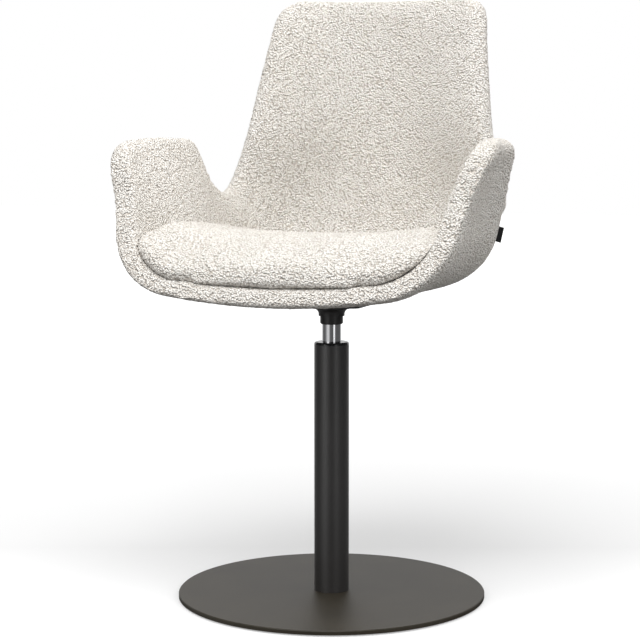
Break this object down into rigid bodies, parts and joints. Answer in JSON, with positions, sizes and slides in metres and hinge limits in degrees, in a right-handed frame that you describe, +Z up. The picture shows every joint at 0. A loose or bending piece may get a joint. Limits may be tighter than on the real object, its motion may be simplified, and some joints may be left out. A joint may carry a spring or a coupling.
{
  "type": "pedestal swivel armchair",
  "caption": "Upholstered bucket armchair with a low wrap-round arm on each side and a tall back, turning and rising on a gas-spring column over a flat round plate.",
  "frame": {"origin": "on the floor, on the axis of the column", "axes": "+Z up along the column; the sitter faces -Y, so +X is at the sitter's left hand and the height lever is on -X"},
  "size_m": [0.5594, 0.5391, 0.8845],
  "materials": {
    "boucle_fabric": "off-white looped boucle weave, matt",
    "tab_fabric": "fine black woven tape",
    "shell_plastic": "moulded structural plastic",
    "black_powder_coat": "matt fine-textured powder coat",
    "chrome": "polished hard chrome",
    "black_plastic": "satin moulded plastic",
    "gloss_black_plastic": "glossy moulded plastic",
    "black_steel": "semi-matt black coating",
    "bearing_steel": "ground steel",
    "zinc_steel": "zinc-plated steel",
    "brass": "turned brass",
    "rubber": "moulded rubber",
    "felt": "dense grey felt"
  },
  "bodies": {
    "base": {"base_glide": "felt", "base_plate": "black_powder_coat", "column_tube": "black_powder_coat", "column_foot": "black_steel", "base_screws": "zinc_steel", "guide_bush": "gloss_black_plastic", "lower_race": "bearing_steel"},
    "cage": {"ball_cage": "black_plastic", "bearing_balls": "bearing_steel"},
    "swivel": {"upper_race": "bearing_steel", "piston_rod": "chrome", "rod_clip": "zinc_steel", "rod_washer": "zinc_steel", "stop_sleeve": "black_plastic", "bump_stop": "rubber", "piston": "black_plastic"},
    "seat": {"pressure_tube": "chrome", "rod_guide": "black_plastic", "valve_body": "zinc_steel", "seat_hub": "black_steel", "hub_cover": "black_plastic", "mechanism_tray": "black_powder_coat", "mounting_bolts": "zinc_steel", "bolt_washers": "zinc_steel", "threaded_inserts": "brass", "inner_shell": "shell_plastic", "shell_upholstery": "boucle_fabric", "seat_cushion": "boucle_fabric", "label_tab": "tab_fabric", "lever_bracket": "zinc_steel", "lever_pivot": "bearing_steel"},
    "lever": {"lever_rod": "black_steel", "lever_grip": "black_plastic"},
    "pin": {"release_pin": "bearing_steel"}
  },
  "joints": [
    {"name": "seat_swivel", "type": "hinge", "parent": "base", "child": "swivel", "pos_m": [0, 0, 0.04], "axis": [0, 0, 1], "continuous": true},
    {"name": "bearing_roll", "type": "hinge", "parent": "base", "child": "cage", "pos_m": [0, 0, 0.04], "axis": [0, 0, 1], "continuous": true},
    {"name": "seat_height", "type": "slide", "parent": "swivel", "child": "seat", "axis": [0, 0, 1], "range_m": [-0.02, 0.08]},
    {"name": "lever_lift", "type": "hinge", "parent": "seat", "child": "lever", "pos_m": [-0.045, 0, 0.442], "axis": [0, 1, 0], "range_deg": [0, 5], "stiffness_Nm_per_rad": 2, "springref_deg": -5.73},
    {"name": "pin_press", "type": "slide", "parent": "seat", "child": "pin", "axis": [0, 0, -1], "range_m": [0, 0.00394]}
  ],
  "couplings": [
    {"joint": "bearing_roll", "follows": "seat_swivel", "ratio": 0.5},
    {"joint": "pin_press", "follows": "lever_lift", "m_per_rad": 0.045}
  ]
}
